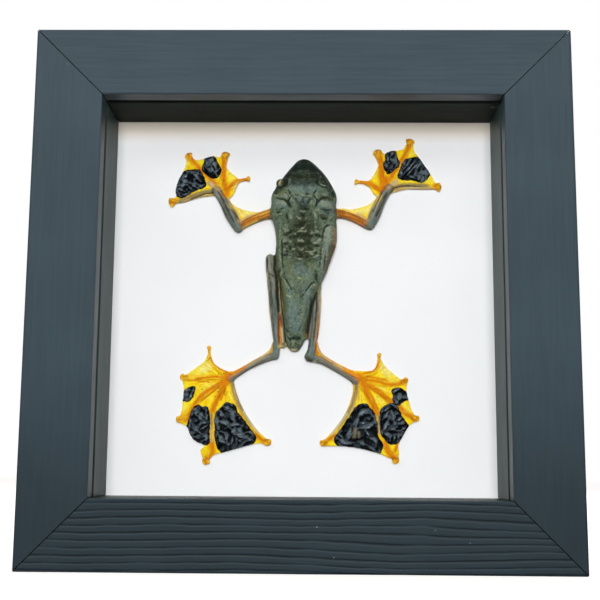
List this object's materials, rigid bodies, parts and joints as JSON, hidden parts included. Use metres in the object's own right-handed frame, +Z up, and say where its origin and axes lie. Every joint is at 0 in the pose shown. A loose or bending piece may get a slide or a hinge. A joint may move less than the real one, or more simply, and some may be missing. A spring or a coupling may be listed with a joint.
{
  "type": "framed tree frog specimen",
  "caption": "Dried tree frog with spread limbs and webbed feet, mounted back outward on a white board in a square dark slate box frame behind glass.",
  "frame": {"origin": "under the middle of the frame, on the surface it stands on", "axes": "+X to the right as seen from the front, +Y from the glass to the back, +Z up"},
  "size_m": [0.2, 0.042, 0.1988],
  "materials": {
    "painted_wood": "dark slate paint over brushed grain, satin",
    "glass": "clear, polished",
    "card": "white, matt",
    "frog_skin": "dried, grey-green with orange and yellow webs, black patches between the toes",
    "fibreboard": "bare hardboard, matt",
    "steel": "zinc plated"
  },
  "bodies": {
    "root": {"frame_rail_bottom": "painted_wood", "frame_rail_left": "painted_wood", "frame_rail_top": "painted_wood", "frame_rail_right": "painted_wood", "glass_pane": "glass", "spacer_bottom": "painted_wood", "spacer_left": "painted_wood", "spacer_top": "painted_wood", "spacer_right": "painted_wood", "mount_board": "card", "tree_frog": "frog_skin", "backing_board": "fibreboard", "retaining_tab_1": "steel", "retaining_tab_2": "steel", "retaining_tab_3": "steel", "retaining_tab_4": "steel", "retaining_tab_5": "steel", "retaining_tab_6": "steel", "retaining_tab_7": "steel", "retaining_tab_8": "steel", "hanger_plate": "steel", "hanger_screw_left": "steel", "hanger_screw_right": "steel"}
  },
  "joints": []
}
